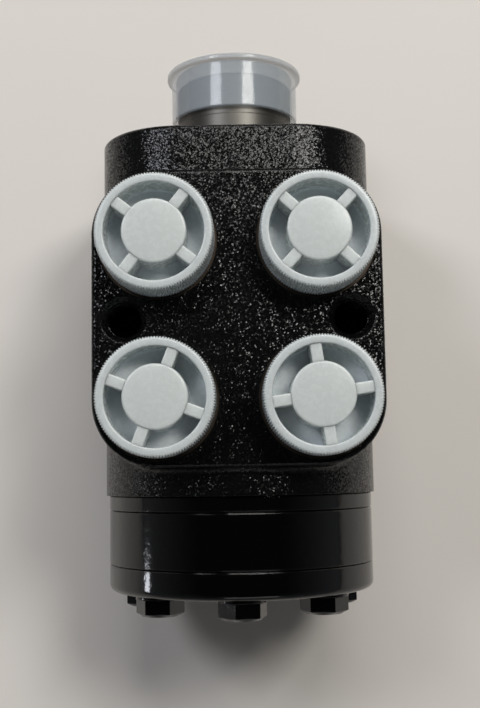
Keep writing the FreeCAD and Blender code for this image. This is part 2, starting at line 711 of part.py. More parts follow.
def make_cross_pin():
    pin = doc.addObject("Part::Cylinder", "cross_pin")
    half = f"(sqrt({SLEEVE_RADIUS} ^ 2 - Dim.pin_radius ^ 2) - Dim.pin_inset)"
    pin.setExpression("Radius", "Dim.pin_radius")
    pin.setExpression("Height", f"2 * {half}")
    pin.Placement = Placement(Vector(), Rotation(Vector(0, 1, 0), 90))
    pin.setExpression("Placement.Base.x", f"-{half}")
    pin.setExpression("Placement.Base.y", f"-{PIN_CENTRE}")
    return pin


def make_leaf_springs():
    """Two packs of arched leaves, back to back through the slots of spool and sleeve."""
    half = dim(f"{SPRING_LENGTH} / 2")
    bow = dim("Dim.leaf_bow")
    thick = dim("Dim.leaf_thick")
    width = dim("Dim.spring_width")
    gap = dim("Dim.leaf_gap")
    leaves = []
    for side in (-1, 1):
        for k in range(count("leaf_count")):
            near = gap + k * thick
            far = near + thick
            inner = Part.Arc(Vector(side * (near + bow), 0, -half), Vector(side * near, 0, 0),
                             Vector(side * (near + bow), 0, half)).toShape()
            outer = Part.Arc(Vector(side * (far + bow), 0, -half), Vector(side * far, 0, 0),
                             Vector(side * (far + bow), 0, half)).toShape()
            low = Part.makeLine(inner.Vertexes[0].Point, outer.Vertexes[0].Point)
            high = Part.makeLine(inner.Vertexes[-1].Point, outer.Vertexes[-1].Point)
            face = Part.Face(Part.Wire(Part.__sortEdges__([inner, high, outer, low])))
            leaves.append(face.extrude(Vector(0, width, 0)))
    springs = doc.addObject("Part::Feature", "leaf_springs")
    springs.Shape = Part.makeCompound(leaves)
    springs.Placement = Placement(Vector(0, -dim("Dim.spring_centre") - width / 2, 0), Rotation())
    return springs


# Thrust bearing between the housing shoulder and the sleeve
def make_needle_cage():
    body = new_body("needle_cage")
    middle = f"(Dim.bearing_start + {BEARING_THICK} / 2)"
    sketch = new_sketch(body, "disc", "XY_Plane")
    draw_outline(sketch, ring_points(CAGE_INNER, CAGE_OUTER,
                                     f"({middle} - Dim.cage_thick / 2)", f"({middle} + Dim.cage_thick / 2)"))
    turn(body, sketch)
    sketch = new_sketch(body, "needle", "XY_Plane")
    near = f"({CAGE_INNER} + {CAGE_OUTER} - {NEEDLE_LENGTH}) / 2"
    far = f"({CAGE_INNER} + {CAGE_OUTER} + {NEEDLE_LENGTH}) / 2"
    draw_outline(sketch, [(near, f"-{middle}"), (far, f"-{middle}"),
                          (far, f"-{middle} + Dim.needle_radius"), (near, f"-{middle} + Dim.needle_radius")])
    needle = body.newObject("PartDesign::Revolution", "needle_cage_needle_turn")
    needle.Profile = sketch
    needle.ReferenceAxis = (sketch, ["Edge1"])
    needle.Angle = 360
    repeat(body, needle, "Dim.needle_count")
    return body


# Cardan shaft, drawn along its own axis from the cross pin and then tilted to the rotor centre
def make_cardan_shaft():
    body = new_body("cardan_shaft")
    root = "(Dim.rotor_bore - Dim.spline_gap)"
    head_start = f"({CARDAN_LENGTH} - {HEAD_WIDTH} / 2)"
    head_end = f"({CARDAN_LENGTH} + {HEAD_WIDTH} / 2)"
    taper = f"({FORK_RADIUS} - Dim.shank_radius)"
    sketch = new_sketch(body, "profile", "XY_Plane")
    draw_outline(sketch, [
        ("0", "Dim.fork_front"),
        (f"{FORK_RADIUS} - Dim.fork_chamfer", "Dim.fork_front"),
        (FORK_RADIUS, "Dim.fork_front - Dim.fork_chamfer"),
        (FORK_RADIUS, "-Dim.fork_back"),
        ("Dim.shank_radius", f"-Dim.fork_back - {taper}"),
        ("Dim.shank_radius", f"-{head_start} + {root} - Dim.shank_radius"),
        (root, f"-{head_start}"),
        (root, f"-{head_end}"),
        ("0", f"-{head_end}"),
    ])
    turn(body, sketch)
    sketch = new_sketch(body, "fork", "YZ_Plane")
    half = "(Dim.pin_radius + Dim.fork_gap)"
    draw_box(sketch, f"-{half}", "Dim.fork_front + Dim.overrun", f"-{half}", half)
    pocket(body, sketch, f"2 * ({FORK_RADIUS} + Dim.overrun)", both=True)
    sketch = new_sketch(body, "tooth", "XZ_Plane", head_start)
    draw_box(sketch, f"-{HEAD_TOOTH_WIDTH} / 2", f"{HEAD_TOOTH_WIDTH} / 2",
             f"{root} - Dim.overrun", f"{root} + {HEAD_TOOTH_DEPTH}")
    repeat(body, pad(body, sketch, HEAD_WIDTH), "Dim.socket_teeth")
    body.Placement = Placement(Vector(), Rotation(Vector(1, 0, 0), dim(CARDAN_TILT)))
    body.setExpression("Placement.Base.y", f"-{PIN_CENTRE}")
    body.setExpression("Placement.Rotation.Angle", CARDAN_TILT)
    return body


# Gerotor set: fixed ring, orbiting rotor, spacer disc
def make_distributor_plate():
    body = new_body("distributor_plate")
    sketch = new_sketch(body, "disc", "XZ_Plane", PLATE_START)
    draw_circle(sketch, RING_RADIUS)
    draw_circle(sketch, "Dim.plate_bore")
    for k in range(count("lobes")):
        draw_circle(sketch, "Dim.screw_radius + Dim.screw_gap", *screw_place(k))
        draw_circle(sketch, "Dim.metering_radius",
                    *on_circle("Dim.metering_circle", f"({k} + 0.5) * {PITCH_ANGLE}"))
    solid = pad(body, sketch, "Dim.plate_thick")
    bevel_edges(body, solid, lambda edge: is_rim(edge, dim(RING_RADIUS)), "Dim.edge_break")
    return body


def make_gear_ring():
    """Ring with a cylindrical lobe round each screw hole, standing into the chamber."""
    body = new_body("gear_ring")
    sketch = new_sketch(body, "disc", "XZ_Plane", RING_START)
    draw_circle(sketch, RING_RADIUS)
    draw_circle(sketch, RING_ROOT)
    solid = pad(body, sketch, "Dim.ring_thick")
    bevel_edges(body, solid, lambda edge: is_rim(edge, dim(RING_RADIUS)), "Dim.edge_break")
    sketch = new_sketch(body, "lobe", "XZ_Plane", RING_START)
    draw_circle(sketch, "Dim.lobe_radius", "0", "Dim.screw_circle")
    repeat(body, pad(body, sketch, "Dim.ring_thick"), "Dim.lobes")
    sketch = new_sketch(body, "screw_hole", "XZ_Plane", RING_START)
    draw_circle(sketch, "Dim.screw_radius + Dim.screw_gap", "0", "Dim.screw_circle")
    repeat(body, pocket(body, sketch, "Dim.ring_thick", back=True), "Dim.lobes")
    sketch = new_sketch(body, "front_seal_groove", "XZ_Plane", RING_START)
    draw_circle(sketch, GROOVE_INNER)
    draw_circle(sketch, GROOVE_OUTER)
    pocket(body, sketch, "Dim.seal_depth", back=True)
    return body


def make_rotor():
    """Rotor whose outline is the path of the lobe centres, set in by the lobe radius.

    Seen from the rotor, each lobe centre of the ring runs along one long epicyclic path,
    so the rotor touches every lobe at once wherever it orbits.
    """
    lobes = count("lobes")
    teeth = lobes - 1
    reach = dim("Dim.screw_circle")
    shift = dim("Dim.eccentricity")
    inset = dim("Dim.lobe_radius + Dim.tooth_gap")
    steps = 2 * teeth * count("arcs_per_tooth")
    points = []
    for i in range(steps):
        angle = 2 * math.pi * i / steps
        path = Vector(reach * math.sin(angle) + shift * math.sin(lobes * angle), 0,
                      reach * math.cos(angle) + shift * math.cos(lobes * angle))
        along = Vector(reach * math.cos(angle) + shift * lobes * math.cos(lobes * angle), 0,
                       -reach * math.sin(angle) - shift * lobes * math.sin(lobes * angle))
        inward = Vector(along.z, 0, -along.x).normalize()
        points.append(path + inward * inset)
    points.append(points[0])
    arcs = [Part.Arc(*points[i:i + 3]).toShape() for i in range(0, steps, 2)]
    width = dim("Dim.ring_thick - 2 * Dim.face_gap")
    blank = Part.Face(Part.Wire(arcs)).extrude(Vector(0, width, 0))

    bore = dim("Dim.rotor_bore")
    tooth = dim("Dim.rotor_tooth_width")
    depth = dim("Dim.rotor_tooth_depth")
    tools = [Part.makeCylinder(bore, width, Vector(), Vector(0, 1, 0))]
    for k in range(count("socket_teeth")):
        slot = Part.makeBox(tooth, width, bore + depth, Vector(-tooth / 2, 0, 0))
        slot.rotate(Vector(), Vector(0, 1, 0), 360 * k / count("socket_teeth"))
        tools.append(slot)
    shape = blank.cut(tools[0].fuse(tools[1:])).removeSplitter()
    rotor = doc.addObject("Part::Feature", "rotor")
    rotor.Shape = shape
    end = dim(f"{COVER_START} - Dim.face_gap")
    rotor.Placement = Placement(Vector(0, -end, -shift), Rotation())
    return rotor


def make_spacer():
    body = new_body("spacer")
    sketch = new_sketch(body, "disc", "XZ_Plane", f"{COVER_START} - Dim.spacer_thick - Dim.face_gap")
    draw_circle(sketch, SPACER_RADIUS, "0", "-Dim.eccentricity")
    pad(body, sketch, "Dim.spacer_thick")
    return body


def make_end_cover():
    body = new_body("end_cover")
    sketch = new_sketch(body, "disc", "XZ_Plane", COVER_START)
    draw_circle(sketch, RING_RADIUS)
    solid = pad(body, sketch, "Dim.cover_thick")
    back = -dim(COVER_END)
    solid = round_edges(body, solid, lambda edge: lies_at(edge, "Y", back), "Dim.cover_edge")
    bevel_edges(body, solid, lambda edge: lies_at(edge, "Y", -dim(COVER_START)), "Dim.edge_break")
    sketch = new_sketch(body, "screw_hole", "XZ_Plane", COVER_START)
    draw_circle(sketch, "Dim.screw_radius + Dim.screw_gap", "0", "Dim.screw_circle")
    repeat(body, pocket(body, sketch, "Dim.cover_thick", back=True), "Dim.lobes")
    sketch = new_sketch(body, "seal_groove", "XZ_Plane", COVER_START)
    draw_circle(sketch, GROOVE_INNER)
    draw_circle(sketch, GROOVE_OUTER)
    pocket(body, sketch, "Dim.seal_depth", back=True)
    return body


# Screws, washers and O-rings
def make_screw(name, k, depth):
    """Hexagon screw through cover, ring and plate, its head turned as it was left."""
    east, north = screw_place(k)
    under_head = f"({COVER_END} + Dim.washer_thick)"
    lying = Placement(Vector(), Rotation(Vector(1, 0, 0), 90))
    head = doc.addObject("Part::Prism", f"{name}_head")
    head.Polygon = 6
    head.Placement = Placement(Vector(), Rotation(Vector(0, 1, 0), (k + 1) * dim("Dim.head_angle")) * lying.Rotation)
    head.setExpression("Circumradius", "Dim.head_flats / (2 * cos(30))")
    head.setExpression("Height", "Dim.head_height")
    head.setExpression("Placement.Base.x", east)
    head.setExpression("Placement.Base.y", f"-{under_head}")
    head.setExpression("Placement.Base.z", north)
    shank = doc.addObject("Part::Cylinder", f"{name}_shank")
    shank.Placement = lying
    shank.setExpression("Radius", "Dim.screw_radius")
    shank.setExpression("Height", f"{under_head} - {HOUSING_LENGTH} + {depth}")
    shank.setExpression("Placement.Base.x", east)
    shank.setExpression("Placement.Base.y", f"-{HOUSING_LENGTH} + {depth}")
    shank.setExpression("Placement.Base.z", north)
    screw = doc.addObject("Part::MultiFuse", name)
    screw.Shapes = [head, shank]
    return screw


def make_washer(name, k):
    body = new_body(name)
    sketch = new_sketch(body, "ring", "XZ_Plane", COVER_END)
    draw_circle(sketch, "Dim.washer_radius", *screw_place(k))
    draw_circle(sketch, "Dim.screw_radius + Dim.screw_gap", *screw_place(k))
    pad(body, sketch, "Dim.washer_thick")
    return body


def make_o_ring(name, place, depth_sign):
    """Cord ring lying in its groove, just free of both faces."""
    ring = doc.addObject("Part::Torus", name)
    ring.Placement = Placement(Vector(), Rotation(Vector(1, 0, 0), 90))
    ring.setExpression("Radius1", f"({GROOVE_INNER} + {GROOVE_OUTER}) / 2")
    ring.setExpression("Radius2", "Dim.seal_depth / 2 - Dim.face_gap / 2")
    ring.setExpression("Placement.Base.y", f"-{place} + {depth_sign} * Dim.seal_depth / 2")
    return ring


# Emergency check valve: bush, ball and stop pin in one of the screw places
def make_check_bush():
    body = new_body("check_bush")
    sketch = new_sketch(body, "ring", "XZ_Plane", f"{HOUSING_LENGTH} - Dim.bush_recess - Dim.bush_length")
    draw_circle(sketch, BUSH_RADIUS, *screw_place("Dim.check_place"))
    draw_circle(sketch, "Dim.screw_radius + Dim.running_gap", *screw_place("Dim.check_place"))
    pad(body, sketch, "Dim.bush_length")
    return body


def make_check_ball():
    ball = doc.addObject("Part::Sphere", "check_ball")
    east, north = screw_place("Dim.check_place")
    ball.setExpression("Radius", "Dim.ball_radius")
    ball.setExpression("Placement.Base.x", east)
    ball.setExpression("Placement.Base.y", f"-{PLATE_START} + {BALL_DEPTH}")
    ball.setExpression("Placement.Base.z", north)
    return ball


def make_stop_pin():
    pin = doc.addObject("Part::Cylinder", "stop_pin")
    east, north = screw_place("Dim.check_place")
    pin.Placement = Placement(Vector(), Rotation(Vector(1, 0, 0), 90))
    pin.setExpression("Radius", "Dim.stop_pin_radius")
    pin.setExpression("Height", "Dim.stop_pin_length")
    pin.setExpression("Placement.Base.x", east)
    pin.setExpression("Placement.Base.y", f"-{HOUSING_LENGTH} + Dim.stop_screw_depth + Dim.stop_pin_length")
    pin.setExpression("Placement.Base.z", north)
    return pin


# Shipping plugs and cap
def make_port_plug(name, side, place, angle):
    """Threaded-shank plug: knurled rim, four spokes and a hollow central disc."""
    body = new_body(name)
    east = f"{side} * Dim.port_pitch / 2"
    north = f"-{place}"

    def plug_sketch(part, height, turned="0"):
        return new_sketch(body, part, "XY_Plane", height, east, north, turned)

    sketch = plug_sketch("rim", SPOTFACE)
    draw_circle(sketch, "Dim.plug_radius")
    solid = pad(body, sketch, f"{PLUG_TOP} - {SPOTFACE}")
    top = dim(PLUG_TOP)
    round_edges(body, solid, lambda edge: lies_at(edge, "Z", top), "Dim.plug_edge")
    sketch = plug_sketch("pocket", PLUG_TOP)
    draw_circle(sketch, PLUG_POCKET)
    draw_circle(sketch, PLUG_DISC)
    pocket(body, sketch, "Dim.plug_pocket_depth")
    sketch = plug_sketch("spokes", f"{PLUG_TOP} - Dim.plug_pocket_depth", angle)
    half = "Dim.plug_spoke_width / 2"
    inner = f"{PLUG_DISC} - Dim.plug_spoke_root"
    outer = f"{PLUG_POCKET} + Dim.plug_spoke_root"
    draw_box(sketch, inner, outer, f"-{half}", half)
    draw_box(sketch, f"-({outer})", f"-({inner})", f"-{half}", half)
    draw_box(sketch, f"-{half}", half, inner, outer)
    draw_box(sketch, f"-{half}", half, f"-({outer})", f"-({inner})")
    pad(body, sketch, "Dim.plug_pocket_depth - Dim.plug_spoke_drop")
    sketch = plug_sketch("shank", SPOTFACE)
    draw_circle(sketch, PLUG_SHANK)
    pad(body, sketch, "Dim.plug_shank_length", back=True)
    sketch = plug_sketch("hollow", f"{SPOTFACE} - Dim.plug_shank_length")
    draw_circle(sketch, PLUG_HOLLOW)
    pocket(body, sketch, f"{PLUG_TOP} - Dim.plug_skin - ({SPOTFACE} - Dim.plug_shank_length)", back=True)
    return body


PLUGS = {
    "port_plug_left_front": (-1, PORT_ROW_FRONT, "52"),
    "port_plug_right_front": (1, PORT_ROW_FRONT, "47"),
    "port_plug_left_rear": (-1, PORT_ROW_REAR, "69"),
    "port_plug_right_rear": (1, PORT_ROW_REAR, "8"),
}

pieces = [make_housing(), make_sleeve(), make_spool(), make_cross_pin(), make_leaf_springs(), make_needle_cage(),
          make_cardan_shaft(), make_distributor_plate(), make_gear_ring(), make_rotor(), make_spacer(),
          make_end_cover(), make_check_bush(), make_check_ball(), make_stop_pin()]

race_start = "Dim.bearing_start"
pieces.append(turned_piece("bearing_race_front", ring_points(
    RACE_BORE, SLEEVE_RADIUS, race_start, f"({race_start} + Dim.race_thick)")))
pieces.append(turned_piece("bearing_race_rear", ring_points(
    RACE_BORE, SLEEVE_RADIUS, f"({SLEEVE_START} - Dim.race_thick - Dim.face_gap)",
    f"({SLEEVE_START} - Dim.face_gap)")))
pieces.append(turned_piece("spring_ring", ring_points(
    f"{SLEEVE_RADIUS} - Dim.spring_ring_thick", SLEEVE_RADIUS,
    "(Dim.spring_centre - Dim.spring_ring_width / 2)", "(Dim.spring_centre + Dim.spring_ring_width / 2)")))
pieces.append(turned_piece("dust_seal", [
    (f"{NECK_RADIUS} + Dim.running_gap", "Dim.spigot_length"),
    (f"{NECK_RADIUS} + Dim.dust_lip", "Dim.spigot_length - Dim.dust_lip"),
    (DUST_SEAL_RADIUS, "Dim.spigot_length - Dim.dust_lip"),
    (DUST_SEAL_RADIUS, "Dim.spigot_length - Dim.dust_seal_length"),
    (f"{NECK_RADIUS} + Dim.dust_lip", "Dim.spigot_length - Dim.dust_seal_length"),
    (f"{NECK_RADIUS} + Dim.running_gap", "Dim.spigot_length - Dim.dust_lip - Dim.seal_land"),
]))
pieces.append(turned_piece("shaft_seal", [
    (f"{NECK_RADIUS} + Dim.running_gap", "Dim.shaft_seal_length - Dim.bearing_start"),
    (SHAFT_SEAL_RADIUS, "Dim.shaft_seal_length - Dim.bearing_start"),
    (SHAFT_SEAL_RADIUS, "-Dim.bearing_start"),
    (f"{NECK_RADIUS} + Dim.dust_lip", "-Dim.bearing_start"),
    (f"{NECK_RADIUS} + Dim.running_gap", "Dim.seal_land"),
]))
pieces.append(turned_piece("spigot_cap", [
    ("0", CAP_END),
    (CAP_RIM, CAP_END),
    (CAP_RIM, f"{CAP_END} - Dim.cap_rim_thick"),
    (CAP_RADIUS, f"{CAP_END} - Dim.cap_rim_thick"),
    (CAP_RADIUS, f"{CAP_END} - Dim.cap_length"),
    (f"{CAP_RADIUS} - Dim.cap_wall", f"{CAP_END} - Dim.cap_length"),
    (f"{CAP_RADIUS} - Dim.cap_wall", f"{CAP_END} - Dim.cap_end_thick"),
    ("0", f"{CAP_END} - Dim.cap_end_thick"),
]))

pieces.append(make_o_ring("seal_housing", PLATE_START, 1))
pieces.append(make_o_ring("seal_plate", RING_START, -1))
pieces.append(make_o_ring("seal_cover", COVER_START, -1))

for k in range(count("lobes")):
    pieces.append(make_washer(f"washer_{k + 1}", k))
    if k == count("check_place"):
        pieces.append(make_screw("stop_screw", k, "Dim.stop_screw_depth"))
    else:
        pieces.append(make_screw(f"cover_screw_{k + 1}", k, "Dim.screw_depth"))

for name, (side, place, angle) in PLUGS.items():
    pieces.append(make_port_plug(name, side, place, angle))

doc.recompute()


# Every feature must have worked, and every cut must have removed metal
for item in doc.Objects:
    if "Invalid" in item.State or "Error" in item.State:
        raise RuntimeError(f"{item.Name} failed: {item.State}")
    if item.TypeId in ("PartDesign::Pocket", "PartDesign::Groove"):
        if item.Shape.Volume > item.BaseFeature.Shape.Volume - 1e-3:
            raise RuntimeError(f"{item.Name} cuts nothing")

os.makedirs("parts", exist_ok=True)
for piece in pieces:
    shape = piece.Shape
    if shape.isNull() or not shape.isValid():
        raise RuntimeError(f"{piece.Name} has no valid shape")
    shape.exportStep(f"parts/{piece.Name}.step")
    print(f"{piece.Name}: {len(shape.Solids)} solid, {shape.Volume:.0f} mm3")
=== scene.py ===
# %% [markdown]
# An orbital steering unit lying on its back: a cast housing painted black, a glossy
# metering set behind it, four white shipping plugs in the ports and a clear cap over the
# column spigot. The construction comes packed from the CAD model in metres. This script
# gives it its finishes, and models the moulded plugs, the cap and the screws as they
# look close up.

import json
import math

import bmesh
import bpy
from mathutils import Matrix, Vector


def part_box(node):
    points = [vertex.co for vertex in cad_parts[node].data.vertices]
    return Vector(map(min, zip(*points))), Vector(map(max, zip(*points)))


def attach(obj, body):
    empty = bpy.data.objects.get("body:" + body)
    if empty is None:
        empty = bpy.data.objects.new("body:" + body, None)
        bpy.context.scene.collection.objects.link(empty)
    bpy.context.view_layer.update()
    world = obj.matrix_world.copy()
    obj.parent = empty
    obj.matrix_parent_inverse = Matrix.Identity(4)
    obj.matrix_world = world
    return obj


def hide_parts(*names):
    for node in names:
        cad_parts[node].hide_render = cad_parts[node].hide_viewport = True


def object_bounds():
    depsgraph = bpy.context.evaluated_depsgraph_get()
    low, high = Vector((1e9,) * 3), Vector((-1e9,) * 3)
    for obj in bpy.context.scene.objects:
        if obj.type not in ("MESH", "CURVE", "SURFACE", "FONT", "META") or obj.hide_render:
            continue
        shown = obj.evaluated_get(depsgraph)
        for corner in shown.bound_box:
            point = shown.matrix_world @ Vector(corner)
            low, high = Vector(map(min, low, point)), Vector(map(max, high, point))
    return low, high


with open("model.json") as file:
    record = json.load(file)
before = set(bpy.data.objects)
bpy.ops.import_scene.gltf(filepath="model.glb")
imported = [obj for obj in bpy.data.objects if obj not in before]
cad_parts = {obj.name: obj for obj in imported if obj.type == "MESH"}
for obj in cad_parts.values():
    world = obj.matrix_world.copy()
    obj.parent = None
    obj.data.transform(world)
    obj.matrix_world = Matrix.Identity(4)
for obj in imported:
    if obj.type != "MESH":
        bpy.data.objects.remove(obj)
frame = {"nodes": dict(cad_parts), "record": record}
nodes = frame["nodes"]
cad_low, cad_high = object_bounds()
MM = 0.001

# %% [markdown]
# The photograph was taken by hand from almost straight above, a little towards the end
# cover. A camera could be aimed with a tracking constraint, but its place and angles were
# worked out by fitting the unit's known circles to the picture, so they are set directly.

# %% Camera
CAMERA_PLACE = Vector((-0.83, -104.11, 353.27)) * MM
CAMERA_TILT = 0.1094
CAMERA_ROLL = -0.0160
CAMERA_YAW = -0.0041
FOCAL_PIXELS = 1054.95
FRAME_LONG_SIDE = 708
SENSOR_MM = 36
NEAREST = 10 * MM

camera_data = bpy.data.cameras.new("camera")
camera_data.sensor_width = SENSOR_MM
camera_data.lens = FOCAL_PIXELS * SENSOR_MM / FRAME_LONG_SIDE
camera_data.clip_start = NEAREST
camera = bpy.data.objects.new("camera", camera_data)
turn = (Matrix.Rotation(CAMERA_TILT, 4, "X") @ Matrix.Rotation(CAMERA_YAW, 4, "Y")
        @ Matrix.Rotation(CAMERA_ROLL, 4, "Z"))
camera.matrix_world = Matrix.Translation(CAMERA_PLACE) @ turn
bpy.context.scene.collection.objects.link(camera)
bpy.context.scene.camera = camera
bpy.context.scene.view_settings.view_transform = "Standard"
print("lens", round(camera_data.lens, 2), "mm")


# %% [markdown]
# Colours are written as the sRGB hex values a paint chart gives. Shaders work in linear
# light, so one function converts them. Another adds any shader node, with its settings,
# and its inputs as values or as links from other nodes.

# %% Colour and node helpers
def linear(hex_colour, alpha=1.0):
    """Linear RGBA of an sRGB hex colour."""
    channels = [int(hex_colour[i:i + 2], 16) / 255 for i in (1, 3, 5)]
    return [c / 12.92 if c <= 0.04045 else ((c + 0.055) / 1.055) ** 2.4 for c in channels] + [alpha]


def set_inputs(tree, node, inputs):
    """An input given as a socket becomes a link, anything else a value."""
    for name, value in inputs.items():
        if isinstance(value, bpy.types.NodeSocket):
            tree.links.new(value, node.inputs[name])
        else:
            node.inputs[name].default_value = value


def add_node(tree, kind, settings=None, inputs=None):
    """Adds a node with its settings and its inputs."""
    made = tree.nodes.new(kind)
    for name, value in (settings or {}).items():
        setattr(made, name, value)
    set_inputs(tree, made, inputs or {})
    return made


def new_material(name):
    """A material with an empty principled shader, and its node tree."""
    material = bpy.data.materials.new(name)
    material.use_nodes = True
    tree = material.node_tree
    shader = next(n for n in tree.nodes if n.type == "BSDF_PRINCIPLED")
    return material, tree, shader


# %% [markdown]
# The finishes all need a place on the piece, a noise of a known size, sums and products, a
# range of roughness and a bump. Node groups could hold these, but plain functions are
# easier to read, and each one returns the socket that the next one takes.

# %% Pattern helpers
EDGE_MM = 0.5
EDGE_SAMPLES = 4


def per_mm(size):
    """Texture scale that makes a pattern feature about this many millimetres wide."""
    return 1 / (size * MM)


def object_place(tree):
    """The place on the piece itself, so a pattern moves with it."""
    return add_node(tree, "ShaderNodeTexCoord").outputs["Object"]


def noise(tree, place, size_mm, detail):
    return add_node(tree, "ShaderNodeTexNoise", inputs={
        "Vector": place, "Scale": per_mm(size_mm), "Detail": detail}).outputs


def numbers(tree, operation, first, second):
    inputs = {0: first, 1: second}
    return add_node(tree, "ShaderNodeMath", {"operation": operation}, inputs).outputs[0]


def vectors(tree, operation, *operands):
    inputs = dict(enumerate(operands))
    return add_node(tree, "ShaderNodeVectorMath", {"operation": operation}, inputs).outputs[0]


def scaled(tree, vector, factor):
    inputs = {0: vector, "Scale": factor}
    return add_node(tree, "ShaderNodeVectorMath", {"operation": "SCALE"}, inputs).outputs[0]


def blended(tree, share, first, second):
    return add_node(tree, "ShaderNodeMixRGB", inputs={0: share, 1: first, 2: second}).outputs[0]


def ranged(tree, value, low, high):
    """Carries a value from nought to one into a range."""
    return add_node(tree, "ShaderNodeMapRange", inputs={
        "Value": value, "To Min": low, "To Max": high}).outputs[0]


def share_between(tree, value, start, end):
    """Nought up to the start, one from the end on."""
    return add_node(tree, "ShaderNodeMapRange", inputs={
        "Value": value, "From Min": start, "From Max": end}).outputs[0]


def soft_edge(tree):
    """Normal of the surface with its sharp edges rounded a little."""
    return add_node(tree, "ShaderNodeBevel", {"samples": EDGE_SAMPLES}, {
        "Radius": EDGE_MM * MM}).outputs[0]


def bumped(tree, height, depth, normal=None):
    inputs = {"Height": height, "Distance": depth, "Strength": 1.0}
    if normal is not None:
        inputs["Normal"] = normal
    return add_node(tree, "ShaderNodeBump", inputs=inputs).outputs[0]


# %% [markdown]
# The housing is grey iron poured in a sand mould, sprayed black, with the machined faces
# masked off or cut afterwards. Sand leaves a grain of about a third of a millimetre, which
# the paint rounds off, so the surface sparkles in small points instead of shining as a
# whole. The grain could be displaced geometry, but that would take millions of faces.
# Instead every grain leans the surface normal its own way, which gives the same sparkle.
# The bare places are found from the sizes of the unit itself: the spigot stands beyond
# the column face, and the spot faces lie just under the port face round each port.

# %% Sizes and colours of the casting
housing_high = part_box("housing")[1]
PORT_FACE = housing_high.z
PORT_CENTRE = Vector((0, -59.6, 0)) * MM
PORT_HALF_PITCH = 23.7 * MM
SPOTFACE_RADIUS = 18.0 * MM
SPOTFACE_SEARCH = 20 * MM
FLANGE_THICK = 15.0 * MM
FLANGE_DRAFT = 0.04
SKIN = 0.1 * MM

PAINT_BLACK = linear("#070707")
BARE_IRON = linear("#5B5955")
RUST_BROWN = linear("#3B2F25")
RUST_SHARE = 0.75
PAINT_ROUGHNESS = 0.17
IRON_ROUGHNESS = 0.42
PAINT_REFLECTION = 0.25

GRAIN_MM = 0.35
GRAIN_TILT = 0.30
SWELL_MM = 2.2 * GRAIN_MM
SWELL_TILT = 0.36
WAVE_MM = 9.0
WAVE_DEPTH_MM = 0.25
TURNING_MM = 0.35
TURNING_DEPTH_MM = 0.006
TURNING_STRETCH = (0.05, 1, 0.05)
NO_TILT = (0.5, 0.5, 0.5)
print("port face at", round(PORT_FACE / MM, 3), "mm")


# %% [markdown]
# One function finds how far a place is from the nearest port axis: it folds the four ports
# onto one. The paint needs it for the spot faces, and the plugs for their rims.

# %% Painted sand casting with machined faces
def distance_from_port(tree, place):
    folded = vectors(tree, "ABSOLUTE", vectors(tree, "SUBTRACT", place, PORT_CENTRE))
    offset = vectors(tree, "SUBTRACT", folded, (PORT_HALF_PITCH, PORT_HALF_PITCH, 0))
    flat = vectors(tree, "MULTIPLY", offset, (1, 1, 0))
    length = add_node(tree, "ShaderNodeVectorMath", {"operation": "LENGTH"}, {0: flat})
    return length.outputs["Value"]


def cast_paint():
    material, tree, shader = new_material("black_paint_on_sand_casting")
    place = object_place(tree)
    axes = add_node(tree, "ShaderNodeSeparateXYZ", inputs={0: place}).outputs

    # The spot faces are bare: near a port axis, and just under the port face
    near_port = numbers(tree, "LESS_THAN", distance_from_port(tree, place), SPOTFACE_RADIUS + SKIN)
    under_face = numbers(tree, "LESS_THAN", axes["Z"], PORT_FACE - SKIN)
    over_shaft = numbers(tree, "GREATER_THAN", axes["Z"], PORT_FACE - SPOTFACE_SEARCH)
    spot = numbers(tree, "MULTIPLY", numbers(tree, "MULTIPLY", near_port, under_face), over_shaft)
    spigot = numbers(tree, "GREATER_THAN", axes["Y"], -SKIN / 2)
    bare = numbers(tree, "MAXIMUM", spot, spigot)
    painted = numbers(tree, "SUBTRACT", 1.0, bare)

    # Tool marks run round the spigot, and the spot faces have a bloom of rust
    turning = noise(tree, vectors(tree, "MULTIPLY", place, TURNING_STRETCH), TURNING_MM, 1.0)
    metal = blended(tree, numbers(tree, "MULTIPLY", spot, RUST_SHARE), BARE_IRON, RUST_BROWN)
    waves = noise(tree, place, WAVE_MM, 2.0)
    height = add_node(tree, "ShaderNodeMix", inputs={
        0: bare, 2: waves["Fac"], 3: turning["Fac"]}).outputs[0]
    depth = ranged(tree, bare, WAVE_DEPTH_MM * MM, TURNING_DEPTH_MM * MM)

    # Every grain of sand leaves a facet, tilted its own way about the rounded edge's normal
    edge = soft_edge(tree)
    grain = add_node(tree, "ShaderNodeTexVoronoi", inputs={
        "Vector": place, "Scale": per_mm(GRAIN_MM)})
    facet = vectors(tree, "SUBTRACT", grain.outputs["Color"], NO_TILT)
    lean = vectors(tree, "SUBTRACT", noise(tree, place, SWELL_MM, 2.0)["Color"], NO_TILT)
    tilt = vectors(tree, "ADD", scaled(tree, lean, SWELL_TILT), scaled(tree, facet, GRAIN_TILT))
    tilt = scaled(tree, tilt, painted)

    # The flange's rim has the draft of its mould, which leans its upper side to the column
    upward = add_node(tree, "ShaderNodeSeparateXYZ", inputs={0: edge}).outputs["Z"]
    on_flange = numbers(tree, "GREATER_THAN", axes["Y"], -FLANGE_THICK)
    draft = numbers(tree, "MULTIPLY", numbers(tree, "MULTIPLY", on_flange, upward), painted)
    draft = scaled(tree, (0, FLANGE_DRAFT, 0), draft)
    leaning = vectors(tree, "ADD", vectors(tree, "ADD", edge, tilt), draft)
    leaning = vectors(tree, "NORMALIZE", leaning)

    set_inputs(tree, shader, {
        "Base Color": blended(tree, bare, PAINT_BLACK, metal),
        "Metallic": bare,
        "Roughness": ranged(tree, bare, PAINT_ROUGHNESS, IRON_ROUGHNESS),
        "Specular IOR Level": PAINT_REFLECTION,
        "Normal": bumped(tree, height, depth, leaning),
    })
    return material


